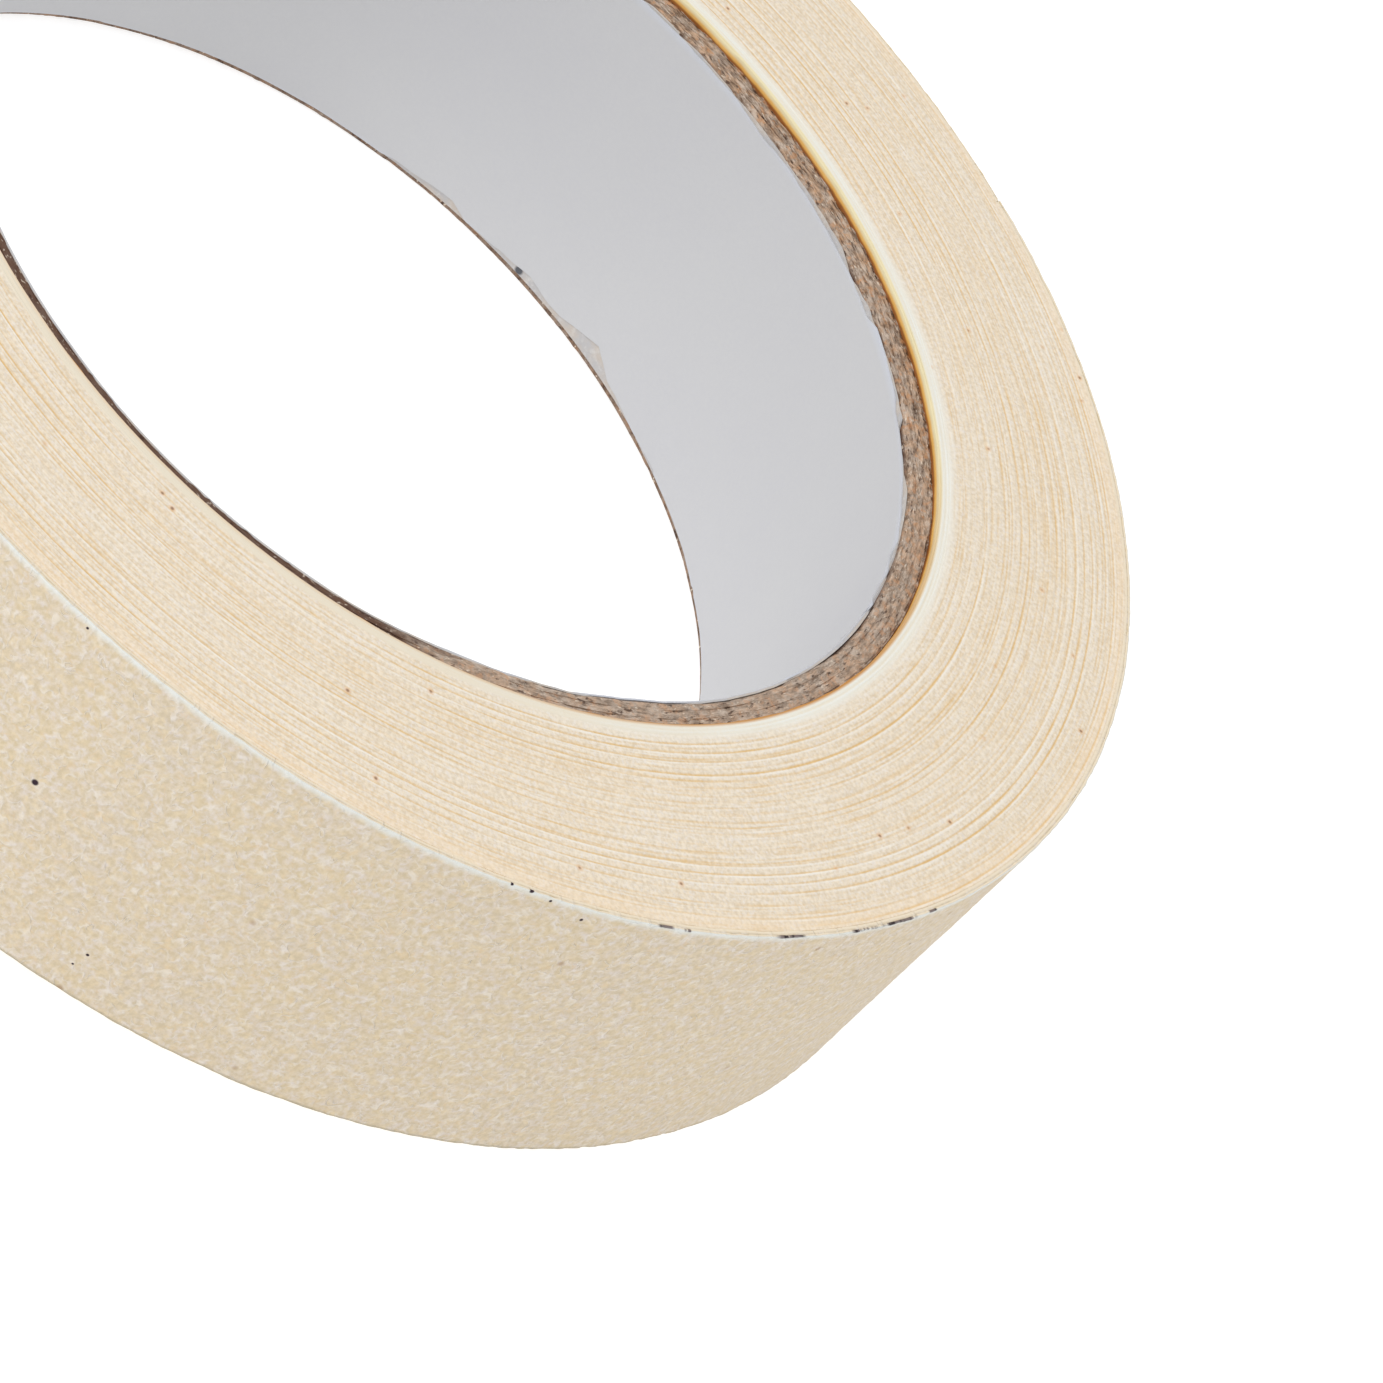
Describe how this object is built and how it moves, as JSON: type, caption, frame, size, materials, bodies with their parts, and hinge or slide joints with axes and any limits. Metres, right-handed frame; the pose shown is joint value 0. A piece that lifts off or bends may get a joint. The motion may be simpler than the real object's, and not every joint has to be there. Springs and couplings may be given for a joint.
{
  "type": "masking tape roll",
  "caption": "Roll of crepe paper masking tape wound on a spiral-laid board core with a paper-lined bore; its free end peels up about a line on the roll.",
  "frame": {"origin": "on the roll's axis, in the plane of the core's lower end, which the roll stands on", "axes": "+Z along the roll's axis, up towards the face where the core is set back; +X and +Y square to it, with the peel line 80 degrees from +X towards +Y"},
  "size_m": [0.114, 0.114, 0.0257],
  "materials": {
    "liner_paper": "smooth, matt, light grey",
    "chipboard": "fibrous cut edge, grey-brown",
    "kraft_wrap": "matt brown",
    "adhesive": "amber, slightly tacky sheen",
    "pale_tape_edge": "slit edges, very pale",
    "tape_edge": "slit edges of many turns, pale cream with amber lines",
    "crepe_paper": "fine crepe wrinkles, matt beige"
  },
  "bodies": {
    "roll": {"core_liner": "liner_paper", "core_board_inner": "chipboard", "core_board_middle": "chipboard", "core_board_outer": "chipboard", "core_wrap": "kraft_wrap", "core_bond": "adhesive", "first_turns": "pale_tape_edge", "tape_pack": "tape_edge", "outer_turn": "crepe_paper"},
    "free_end": {"free_end": "crepe_paper"}
  },
  "joints": [
    {"name": "peel", "type": "hinge", "parent": "roll", "child": "free_end", "pos_m": [0.00988, 0.05604, 0.0132], "axis": [0, 0, -1], "range_deg": [0, 110]}
  ]
}
